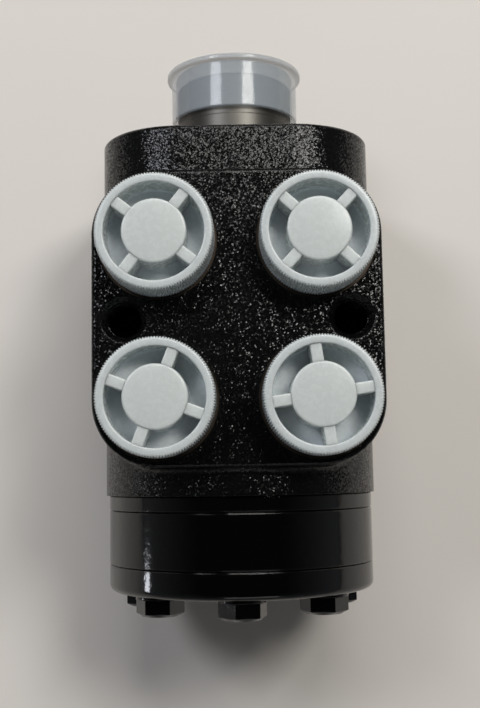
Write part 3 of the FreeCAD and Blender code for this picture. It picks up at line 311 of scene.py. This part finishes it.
# %% [markdown]
# Plate, gear ring, end cover, screws and washers were assembled bare and then dipped or
# brushed in thick black enamel. The skin flows smooth over the turned steel, so it acts
# as a dark mirror with a slight orange peel, and its edges pick up the pale floor.

# %% Glossy enamel
PEEL_MM = 3.2
PEEL_DEPTH_MM = 0.05
SPECK_MM = 0.6
SPECK_SHARE = 0.12


def gloss_enamel():
    material, tree, shader = new_material("black_enamel_on_turned_steel")
    place = object_place(tree)
    specks = numbers(tree, "MULTIPLY", noise(tree, place, SPECK_MM, 1.0)["Fac"], SPECK_SHARE)
    height = numbers(tree, "ADD", specks, noise(tree, place, PEEL_MM, 2.0)["Fac"])
    set_inputs(tree, shader, {
        "Base Color": linear("#030303"),
        "Roughness": 0.09,
        "IOR": 1.5,
        "Normal": bumped(tree, height, PEEL_DEPTH_MM * MM, soft_edge(tree)),
    })
    return material


# %% [markdown]
# Inside, the valve pieces are hardened and ground steel, the drive pieces are turned and
# lightly oiled, and the springs are blued. One function makes all three, because they
# differ only in colour, roughness and the spacing of their tool marks.

# %% Steels
MARK_STRETCH = (0.04, 1, 0.04)
OIL_CLOUD_MM = 6.0
OIL_CLOUD_ROUGHNESS = 0.06


def steel(name, hex_colour, roughness, mark_mm, depth_mm):
    material, tree, shader = new_material(name)
    place = object_place(tree)
    marks = noise(tree, vectors(tree, "MULTIPLY", place, MARK_STRETCH), mark_mm, 2.0)["Fac"]
    cloud = noise(tree, place, OIL_CLOUD_MM, 2.0)["Fac"]
    spread = OIL_CLOUD_ROUGHNESS
    set_inputs(tree, shader, {
        "Base Color": linear(hex_colour),
        "Metallic": 1.0,
        "Roughness": ranged(tree, cloud, roughness - spread, roughness + spread),
        "Normal": bumped(tree, marks, depth_mm * MM),
    })
    return material


# %% [markdown]
# The seals are black nitrile rubber, moulded smooth, with a faint bloom that makes the
# rubber a little matt.

# %% Rubber
BLOOM_MM = 2.0


def nitrile():
    material, tree, shader = new_material("black_nitrile_rubber")
    bloom = noise(tree, object_place(tree), BLOOM_MM, 3.0)["Fac"]
    set_inputs(tree, shader, {
        "Base Color": linear("#1B1B1C"),
        "Roughness": ranged(tree, bloom, 0.45, 0.65),
    })
    return material


# %% [markdown]
# The plugs are natural low-density polyethylene, moulded without dye. Thick walls look
# milky white because light scatters inside them, and that scatter is real subsurface light.
# The floor of each pocket is thin and has the dark port behind it, so it looks blue-grey;
# here the lower walls and floor of the pocket are painted paler and bluer than the top,
# painted light that lifts the shade of the deep pocket. The rim is thinner than the disc and
# is painted a little greyer, painted shade for its thinner wall. These painted tones follow
# the depth below the plug's top and the distance from its axis, so they keep their places
# from every side.

# %% Polyethylene of the plugs
PLUG_TOP = cad_high.z
# Painted light: the pocket's lower walls and floor, paler and bluer to lift their shade
POCKET_PAINTED_LIGHT = linear("#DDE4E8")
DISC_COLOUR = linear("#C7CDCB")
# Painted shade: the rim a little greyer than the disc, for its thinner wall
RIM_PAINTED_SHADE = linear("#BFC5C5")
POCKET_FADE = (10.9 * MM, 8.5 * MM)
RIM_FADE = (13.9 * MM, 14.4 * MM)
POLYETHYLENE_IOR = 1.51
PLUG_CLOUD_MM = 1.5
PLUG_CLOUD_DEPTH_MM = 0.03


def plug_polyethylene():
    material, tree, shader = new_material("natural_polyethylene")
    place = object_place(tree)
    height = add_node(tree, "ShaderNodeSeparateXYZ", inputs={0: place}).outputs["Z"]
    # The pocket's painted light fades in towards its floor
    above_floor = share_between(tree, height, PLUG_TOP - POCKET_FADE[0], PLUG_TOP - POCKET_FADE[1])
    # The rim's painted shade starts at the edge of the pocket
    on_rim = share_between(tree, distance_from_port(tree, place), *RIM_FADE)
    upper = blended(tree, on_rim, DISC_COLOUR, RIM_PAINTED_SHADE)
    cloud = noise(tree, place, PLUG_CLOUD_MM, 3.0)["Fac"]
    set_inputs(tree, shader, {
        "Base Color": blended(tree, above_floor, POCKET_PAINTED_LIGHT, upper),
        "Roughness": ranged(tree, cloud, 0.20, 0.34),
        "IOR": POLYETHYLENE_IOR,
        "Subsurface Weight": 0.6,
        "Subsurface Scale": 5.0 * MM,
        "Subsurface Radius": (1.0, 1.0, 1.0),
        "Normal": bumped(tree, cloud, PLUG_CLOUD_DEPTH_MM * MM),
    })
    return material


# %% [markdown]
# The spigot cap is the same plastic drawn much thinner, so the steel end shows through it
# as a grey shadow. Part of the light goes straight through: that is the alpha value.

# %% Polyethylene of the cap
CAP_CLOUD_MM = 3.0
CAP_CLOUD_DEPTH_MM = 0.04


def cap_polyethylene():
    material, tree, shader = new_material("thin_clear_polyethylene")
    cloud = noise(tree, object_place(tree), CAP_CLOUD_MM, 2.0)["Fac"]
    set_inputs(tree, shader, {
        "Base Color": linear("#AEB7BE"),
        "Roughness": 0.12,
        "IOR": POLYETHYLENE_IOR,
        "Alpha": 0.42,
        "Normal": bumped(tree, cloud, CAP_CLOUD_DEPTH_MM * MM),
    })
    return material


# %% [markdown]
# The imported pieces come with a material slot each, named for the stuff it is made of. One
# table gives every slot its finish, so a piece made here looks like its neighbours.

# %% Finishes by material slot
FINISHES = {
    "cast_paint": cast_paint(),
    "gloss_enamel": gloss_enamel(),
    "ground_steel": steel("ground_hardened_steel", "#B9B6B0", 0.22, 0.25, 0.004),
    "turned_steel": steel("turned_oiled_steel", "#A19E98", 0.30, 0.4, 0.012),
    "spring_steel": steel("blued_spring_steel", "#4A4E58", 0.28, 0.5, 0.006),
    "nitrile": nitrile(),
    "plug_polyethylene": plug_polyethylene(),
    "cap_polyethylene": cap_polyethylene(),
}
slot_of = {entry["node"]: entry["material_slot"] for entry in frame["record"]["subparts"]}
for name, node in nodes.items():
    for i in range(len(node.material_slots)):
        node.material_slots[i].material = FINISHES[slot_of[name]]
    if not node.material_slots:
        node.data.materials.append(FINISHES[slot_of[name]])
print("finishes", sorted(FINISHES))


# %% [markdown]
# Turned and moulded pieces are lathe shapes: a profile carried round an axis. A Screw
# modifier could do it, but the plugs need teeth in their rim, so a short function places
# every ring itself and lets the radius change as it goes round.

# %% Lathe helper
AXIS_RADIUS = 1e-9


def lathe(name, profile, columns, radius_at=None):
    """Closed mesh from a profile of radius and height; a radius of zero closes the end."""
    shape = bmesh.new()
    rings = []
    for radius, height in profile:
        if radius < AXIS_RADIUS:
            rings.append([shape.verts.new((0, 0, height))])
            continue
        ring = []
        for i in range(columns):
            angle = 2 * math.pi * i / columns
            reach = radius_at(radius, height, angle) if radius_at else radius
            ring.append(shape.verts.new((reach * math.cos(angle), reach * math.sin(angle), height)))
        rings.append(ring)
    for first, second in zip(rings, rings[1:]):
        for i in range(columns):
            j = (i + 1) % columns
            corners = list(dict.fromkeys([
                first[i % len(first)], first[j % len(first)],
                second[j % len(second)], second[i % len(second)]]))
            if len(corners) > 2:
                shape.faces.new(corners)
    bmesh.ops.recalc_face_normals(shape, faces=shape.faces)
    mesh = bpy.data.meshes.new(name)
    shape.to_mesh(mesh)
    shape.free()
    return mesh


def rounded(corners, radii, steps=4):
    """Profile through corner points, each corner rounded to its radius."""
    path = []
    for i, (corner, radius) in enumerate(zip(corners, radii)):
        here = Vector(corner)
        if radius == 0 or i in (0, len(corners) - 1):
            path.append(tuple(here))
            continue
        back = (Vector(corners[i - 1]) - here).normalized()
        ahead = (Vector(corners[i + 1]) - here).normalized()
        half = back.angle(ahead) / 2
        arm = radius / math.tan(half)
        centre = here + (back + ahead).normalized() * radius / math.sin(half)
        start = here + back * arm - centre
        sweep = start.angle_signed(here + ahead * arm - centre)
        for k in range(steps + 1):
            spoke = start.copy()
            spoke.rotate(Matrix.Rotation(-sweep * k / steps, 2))
            path.append(tuple(centre + spoke))
    return path


def smooth(mesh, degrees=40):
    """Shades a mesh smooth, except over edges sharper than the angle."""
    shape = bmesh.new()
    shape.from_mesh(mesh)
    for face in shape.faces:
        face.smooth = True
    for edge in shape.edges:
        edge.smooth = len(edge.link_faces) == 2 and edge.calc_face_angle(0) < math.radians(degrees)
    shape.to_mesh(mesh)
    shape.free()


def place_piece(name, mesh, matrix, body, finish, stands_for=None):
    """Puts a piece in its place, and weights its normals so that flat stretches shade flat."""
    piece = bpy.data.objects.new(name, mesh)
    bpy.context.scene.collection.objects.link(piece)
    mesh.transform(matrix)
    mesh.materials.append(FINISHES[finish])
    piece.modifiers.new("flat_stretches", "WEIGHTED_NORMAL").keep_sharp = True
    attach(piece, body)
    if stands_for:
        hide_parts(stands_for)
    return piece


# %% [markdown]
# A port plug is one moulding: a knurled rim to turn it by, a hollow central boss, four
# spokes across the pocket and a threaded shank below. The rim has a hundred and thirty fine
# teeth, rounded over at the top. Its sizes come from the plug's place in the frame, and
# each one stands at the angle it was screwed home to.

# %% Port plugs
KNURL_TEETH = 130
KNURL_DEPTH = 0.42
KNURL_START = 0.7
KNURL_FADE = 0.5
KNURL_POWER = 1.6
STEPS_PER_TOOTH = 6
PLUG_RIM = 17.2
PLUG_POCKET = 14.4
PLUG_DISC = 9.35
PLUG_HOLLOW = 8.2
PLUG_SHANK = 10.1
PLUG_ROUNDINGS = [0, 0.7, 0.6, 0.6, 0.45, 1.1, 0.3, 0.2]
DISC_SKIN = 1.5
POCKET_DEPTH = 11.0
SPOTFACE_SINK = 0.8
THREAD_PITCH = 1.814
THREAD_DEPTH = 0.75
THREAD_START = 1.5
THREAD_END = 1.0
THREAD_SHARES = (0, 0.4, 0.55, 0.95)
SHANK_TAPER = 0.8
SPOKE_WIDTH = 3.4
SPOKE_DROP = 0.5
SPOKE_ROOT = 0.3
SPOKE_OVERLAP = 0.8
SPOKE_EDGE = 0.5
SPOKE_ANGLES = {
    "port_plug_left_front": 52,
    "port_plug_right_front": 47,
    "port_plug_left_rear": 69,
    "port_plug_right_rear": 8,
}


def knurl(radius, height, angle):
    """Rim radius with rounded teeth, which fade out at the rounded top and bottom edges."""
    if radius < PLUG_RIM - KNURL_START:
        return radius
    tooth = abs(math.sin(KNURL_TEETH * angle / 2)) ** KNURL_POWER
    fade = min(1.0, (radius - PLUG_RIM + KNURL_START) / KNURL_FADE)
    return radius - KNURL_DEPTH * (1 - tooth) * fade


def plug_mesh(name, top, bottom, shank_end):
    """Plug in millimetres, standing on its own axis."""
    floor = top - POCKET_DEPTH
    corners = [(0, top), (PLUG_DISC, top), (PLUG_DISC, floor), (PLUG_POCKET, floor),
               (PLUG_POCKET, top), (PLUG_RIM, top), (PLUG_RIM, bottom), (PLUG_SHANK, bottom)]
    profile = rounded(corners, PLUG_ROUNDINGS)
    root = PLUG_SHANK - THREAD_DEPTH
    thread_top = bottom - THREAD_START
    turns = int((thread_top - shank_end - THREAD_END) / THREAD_PITCH)
    for k in range(turns):
        for share, radius in zip(THREAD_SHARES, (root, PLUG_SHANK, PLUG_SHANK, root)):
            profile.append((radius, thread_top - k * THREAD_PITCH - THREAD_PITCH * share))
    profile += [(PLUG_SHANK - SHANK_TAPER, shank_end), (PLUG_HOLLOW, shank_end),
                (PLUG_HOLLOW, top - DISC_SKIN), (0, top - DISC_SKIN)]
    return lathe(name, profile, KNURL_TEETH * STEPS_PER_TOOTH, knurl)


def add_spokes(mesh, top, turn_degrees):
    """Four bars across the pocket, their ends just inside the rim and the boss."""
    shape = bmesh.new()
    shape.from_mesh(mesh)
    low = top - POCKET_DEPTH - SPOKE_ROOT
    high = top - SPOKE_DROP
    reach = PLUG_POCKET - PLUG_DISC + SPOKE_OVERLAP
    for k in range(4):
        made = bmesh.ops.create_cube(shape, size=1)["verts"]
        scale = Matrix.Diagonal((reach, SPOKE_WIDTH, high - low, 1))
        middle = Matrix.Translation(((PLUG_POCKET + PLUG_DISC) / 2, 0, (low + high) / 2))
        angle = Matrix.Rotation(math.radians(turn_degrees + 90 * k), 4, "Z")
        bmesh.ops.transform(shape, matrix=angle @ middle @ scale, verts=made)
        edges = {edge for vert in made for edge in vert.link_edges}
        bmesh.ops.bevel(shape, geom=list(edges), offset=SPOKE_EDGE, segments=3,
                        affect="EDGES", profile=0.5)
    shape.to_mesh(mesh)
    shape.free()


for name, angle in SPOKE_ANGLES.items():
    low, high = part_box(name)
    top, shank_end = high.z / MM, low.z / MM
    bottom = PORT_FACE / MM - SPOTFACE_SINK
    mesh = plug_mesh(name + "_moulding", top, bottom, shank_end)
    add_spokes(mesh, top, angle)
    smooth(mesh, 50)
    centre = (low + high) / 2
    matrix = Matrix.Translation((centre.x, centre.y, 0)) @ Matrix.Scale(MM, 4)
    place_piece(name + "_moulding", mesh, matrix, name, "plug_polyethylene", name)
    print(name, len(mesh.vertices), "vertices")

# %% [markdown]
# The cap is a thin cup pushed over the spigot, with a small rim round its closed end to
# pull it off by. Its corners are softly rounded because polyethylene shrinks as it cools.

# %% Spigot cap
cap_low, cap_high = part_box("spigot_cap")
CAP_RIM = (cap_high.x - cap_low.x) / 2 / MM
CAP_TUBE = 21.35
CAP_WALL = 1.4
CAP_END = 1.2
CAP_RIM_THICK = 1.8
CAP_RIM_FLAT = 1.6
CAP_ROUNDINGS = [0, 0, 0.6, 0.5, 0.3, 0.4, 0.4, 0.8, 0]
CAP_COLUMNS = 160
cap_length = (cap_high.y - cap_low.y) / MM
cap_bore = CAP_TUBE - CAP_WALL
cap_corners = [(0, 0), (CAP_RIM - CAP_RIM_FLAT, 0), (CAP_RIM, 0), (CAP_RIM, -CAP_RIM_THICK),
               (CAP_TUBE, -CAP_RIM_THICK), (CAP_TUBE, -cap_length), (cap_bore, -cap_length),
               (cap_bore, -CAP_END), (0, -CAP_END)]
cap_mesh = lathe("spigot_cap_moulding", rounded(cap_corners, CAP_ROUNDINGS), CAP_COLUMNS)
smooth(cap_mesh)
# The lathe's axis is Z; the cap's axis is the shaft, along Y
along_shaft = Matrix.Rotation(math.radians(-90), 4, "X")
cap_matrix = Matrix.Translation((0, cap_high.y, 0)) @ along_shaft @ Matrix.Scale(MM, 4)
place_piece("spigot_cap_moulding", cap_mesh, cap_matrix,
            "spigot_cap", "cap_polyethylene", "spigot_cap")
print("cap length", round(cap_length, 2), "mm")

# %% [markdown]
# The hexagon screws have their corners turned off at thirty degrees, which leaves an arc
# on every flat. The head is a hexagon whose height drops with the distance from its axis.
# Each screw stopped at its own angle, which was read from the photograph where it shows.

# %% Hexagon screws
HEAD_FLATS = 13.0
HEAD_HEIGHT = 5.3
SCREW_RADIUS = 4.0
FLAT_STEPS = 10
HEAD_CHAMFER_DEGREES = 30
HEAD_CHAMFER_HEIGHT = 0.9
HEAD_CHAMFER_BAND = 1.2
FACE_INSET = 0.15
FACE_EDGE = ((0.9, 0), (0.65, 0.05))
CHAMFER_START = 0.4
CHAMFER_REST = 0.5
ROUND_UP_TO = 0.7
TIP_LENGTH = 1.0
TIP_TAPER = 0.8
HEAD_TURNS = {
    "cover_screw_1": 14,
    "cover_screw_2": -8,
    "cover_screw_3": 30,
    "stop_screw": 11,
    "cover_screw_5": -19,
    "cover_screw_6": 30,
    "cover_screw_7": -4,
}


def screw_mesh(name, length):
    """Screw in millimetres, head up, its underside at height zero."""
    columns = 6 * FLAT_STEPS

    def hexagon(radius, height, angle):
        if radius <= HEAD_FLATS / 2 - ROUND_UP_TO:
            return radius
        return radius / math.cos((angle + math.pi / 6) % (math.pi / 3) - math.pi / 6)

    face = HEAD_FLATS / 2 - FACE_INSET
    profile = [(0, HEAD_HEIGHT)]
    profile += [(face - inward, HEAD_HEIGHT - down) for inward, down in FACE_EDGE]
    profile += [(HEAD_FLATS / 2, HEAD_HEIGHT - HEAD_CHAMFER_HEIGHT), (HEAD_FLATS / 2, FACE_INSET),
                (face, 0), (SCREW_RADIUS, 0), (SCREW_RADIUS, -length + TIP_LENGTH),
                (SCREW_RADIUS - TIP_TAPER, -length), (0, -length)]
    mesh = lathe(name, profile, columns, hexagon)
    shape = bmesh.new()
    shape.from_mesh(mesh)
    chamfer = math.tan(math.radians(HEAD_CHAMFER_DEGREES))
    for vert in shape.verts:
        reach = math.hypot(vert.co.x, vert.co.y)
        if vert.co.z > HEAD_HEIGHT - HEAD_CHAMFER_BAND and reach > face - CHAMFER_START:
            vert.co.z = min(vert.co.z, HEAD_HEIGHT - (reach - face + CHAMFER_REST) * chamfer)
    shape.to_mesh(mesh)
    shape.free()
    return mesh


for name, head_turn in HEAD_TURNS.items():
    low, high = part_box(name)
    under_head = low.y / MM + HEAD_HEIGHT
    mesh = screw_mesh(name + "_turned", high.y / MM - under_head)
    smooth(mesh, 25)
    facing = Matrix.Rotation(math.radians(90), 4, "X")
    own_turn = Matrix.Rotation(math.radians(30 - head_turn), 4, "Z")
    centre = (low + high) / 2
    seat = Matrix.Translation((centre.x, under_head * MM, centre.z))
    matrix = seat @ facing @ own_turn @ Matrix.Scale(MM, 4)
    place_piece(name + "_turned", mesh, matrix, "housing", "gloss_enamel", name)
print("screws", len(HEAD_TURNS))

# %% [markdown]
# Six holes in the housing are tapped: two beside the ports for the valve block and four in
# the column face. The model's plain bores stop at the thread's inner diameter, so a thin
# ridge wound along the bore gives the eye the thread. Paint and oil lie on it and make it
# glossy. A Screw modifier winds a profile too, but leaves open ends, so the ridge is built
# ring by ring and closed.

# %% Tapped holes
RIDGE_HEIGHT = 0.4
RIDGE_ROOT = 0.45
RIDGE_CREST = 0.1
RIDGE_SUNK = 0.02
VALVE_BOLT_RADIUS = 5.25
VALVE_BOLT_OFFSET = 33.6
VALVE_THREAD = (-3.0, -21.0)
COLUMN_BOLT_RADIUS = 4.25
COLUMN_BOLT_OFFSET = 29.25
COLUMN_THREAD = (-1.2, -17.0)
BOLT_PITCH = 1.5
TURN_STEPS = 36


def thread_mesh(name, radius, start, end):
    """Ridge wound inside a bore along Z, closed at both ends; its section counts in pitches."""
    section = [(RIDGE_SUNK, -RIDGE_ROOT), (-RIDGE_HEIGHT, -RIDGE_CREST),
               (-RIDGE_HEIGHT, RIDGE_CREST), (RIDGE_SUNK, RIDGE_ROOT)]
    shape = bmesh.new()
    rings = []
    steps = int((start - end) / BOLT_PITCH * TURN_STEPS)
    for i in range(steps + 1):
        angle = 2 * math.pi * i / TURN_STEPS
        height = start - BOLT_PITCH * i / TURN_STEPS
        rings.append([shape.verts.new((
            (radius + out) * math.cos(angle), (radius + out) * math.sin(angle),
            height + up * BOLT_PITCH)) for out, up in section])
    for first, second in zip(rings, rings[1:]):
        for i in range(len(section)):
            j = (i + 1) % len(section)
            shape.faces.new((first[i], first[j], second[j], second[i]))
    shape.faces.new(rings[0])
    shape.faces.new(rings[-1])
    bmesh.ops.recalc_face_normals(shape, faces=shape.faces)
    mesh = bpy.data.meshes.new(name)
    shape.to_mesh(mesh)
    shape.free()
    return mesh


in_metres = Matrix.Scale(MM, 4)
for side, word in ((-1, "left"), (1, "right")):
    name = f"valve_bolt_thread_{word}"
    spot = Matrix.Translation((side * VALVE_BOLT_OFFSET * MM, PORT_CENTRE.y, PORT_FACE))
    mesh = thread_mesh(name, VALVE_BOLT_RADIUS, *VALVE_THREAD)
    place_piece(name, mesh, spot @ in_metres, "housing", "gloss_enamel")
    for level, height in ((-1, "low"), (1, "high")):
        name = f"column_bolt_thread_{word}_{height}"
        across, up = side * COLUMN_BOLT_OFFSET * MM, level * COLUMN_BOLT_OFFSET * MM
        spot = Matrix.Translation((across, 0, up))
        mesh = thread_mesh(name, COLUMN_BOLT_RADIUS, *COLUMN_THREAD)
        place_piece(name, mesh, spot @ along_shaft @ in_metres, "housing", "gloss_enamel")
print("tapped holes", 6)

# %% [markdown]
# The unit lies on a plain pale floor, level with the lowest point of the construction. A
# curved backdrop would do as well, but the camera looks straight down and never sees one.

# %% Floor
FLOOR_SIZE = 6.0
FLOOR_ROUGHNESS = 0.9
floor_mesh = bpy.data.meshes.new("floor")
half = FLOOR_SIZE / 2
floor_corners = [(-half, -half, 0), (half, -half, 0), (half, half, 0), (-half, half, 0)]
floor_mesh.from_pydata(floor_corners, [], [(0, 1, 2, 3)])
floor = bpy.data.objects.new("floor", floor_mesh)
floor.location.z = cad_low.z
bpy.context.scene.collection.objects.link(floor)
floor_material, floor_tree, floor_shader = new_material("pale_floor")
set_inputs(floor_tree, floor_shader, {
    "Base Color": linear("#DAD5CF"), "Roughness": FLOOR_ROUGHNESS})
floor_mesh.materials.append(floor_material)
print("floor at", round(floor.location.z / MM, 1), "mm")

# %% [markdown]
# The light is soft. One lamp from the upper right and one from the upper left draw the two
# bright bars down the cap, a wide window beyond the column end lights the grain, and a
# small low one from the left draws the line down the enamel. A weak, wide one beyond the
# end cover fills the shade under the plugs. Black enamel shows the room, so the room
# overhead stays dim. A picture of a studio could light it too, but lamps can be moved one
# at a time.

# %% Lamps
# Each lamp: its place, the point it faces, its width and height in metres, watts and colour
LAMPS = {
    "ceiling_lamp": ((0.55, 0.46, 1.15), (0, -0.05, 0), 0.34, 0.40, 8.2, "#FFFDF8"),
    "left_window": ((-0.63, 0.41, 0.96), (0, -0.05, 0), 0.28, 0.36, 4.4, "#F4F7FF"),
    "front_window": ((0.10, 0.88, 1.12), (0, -0.05, 0), 0.7, 0.45, 8.2, "#FFFDFA"),
    "cover_fill": ((0.15, -1.25, 0.75), (0, -0.08, 0.04), 0.9, 0.4, 1.2, "#FFFDFA"),
    "low_window": ((-1.40, -0.285, 0.09), (0, -0.14, 0), 0.05, 0.12, 0.3, "#F4F7FF"),
}
for name, (place, target, width, height, watts, hex_colour) in LAMPS.items():
    data = bpy.data.lights.new(name, "AREA")
    data.shape = "RECTANGLE"
    data.size = width
    data.size_y = height
    data.energy = watts
    data.color = linear(hex_colour)[:3]
    lamp = bpy.data.objects.new(name, data)
    lamp.location = place
    lamp.rotation_mode = "QUATERNION"
    lamp.rotation_quaternion = (Vector(target) - Vector(place)).to_track_quat("-Z", "Y")
    bpy.context.scene.collection.objects.link(lamp)
print("lamps", len(LAMPS))

# %% [markdown]
# The room is a plain gradient, lighter at the horizon, because the enamel's steep sides
# reflect what stands round the table. A single grey would light them flat.

# %% Room
HORIZON = linear("#717376")
OVERHEAD = linear("#1C1C1D")
CLIMB = (0.1, 0.8)
world = bpy.data.worlds.new("room")
world.use_nodes = True
room_tree = world.node_tree
room = next(n for n in room_tree.nodes if n.type == "BACKGROUND")
direction = add_node(room_tree, "ShaderNodeTexCoord").outputs["Generated"]
climb = add_node(room_tree, "ShaderNodeSeparateXYZ", inputs={0: direction}).outputs["Z"]
tone = blended(room_tree, share_between(room_tree, climb, *CLIMB), HORIZON, OVERHEAD)
set_inputs(room_tree, room, {"Color": tone, "Strength": 1.0})
bpy.context.scene.world = world
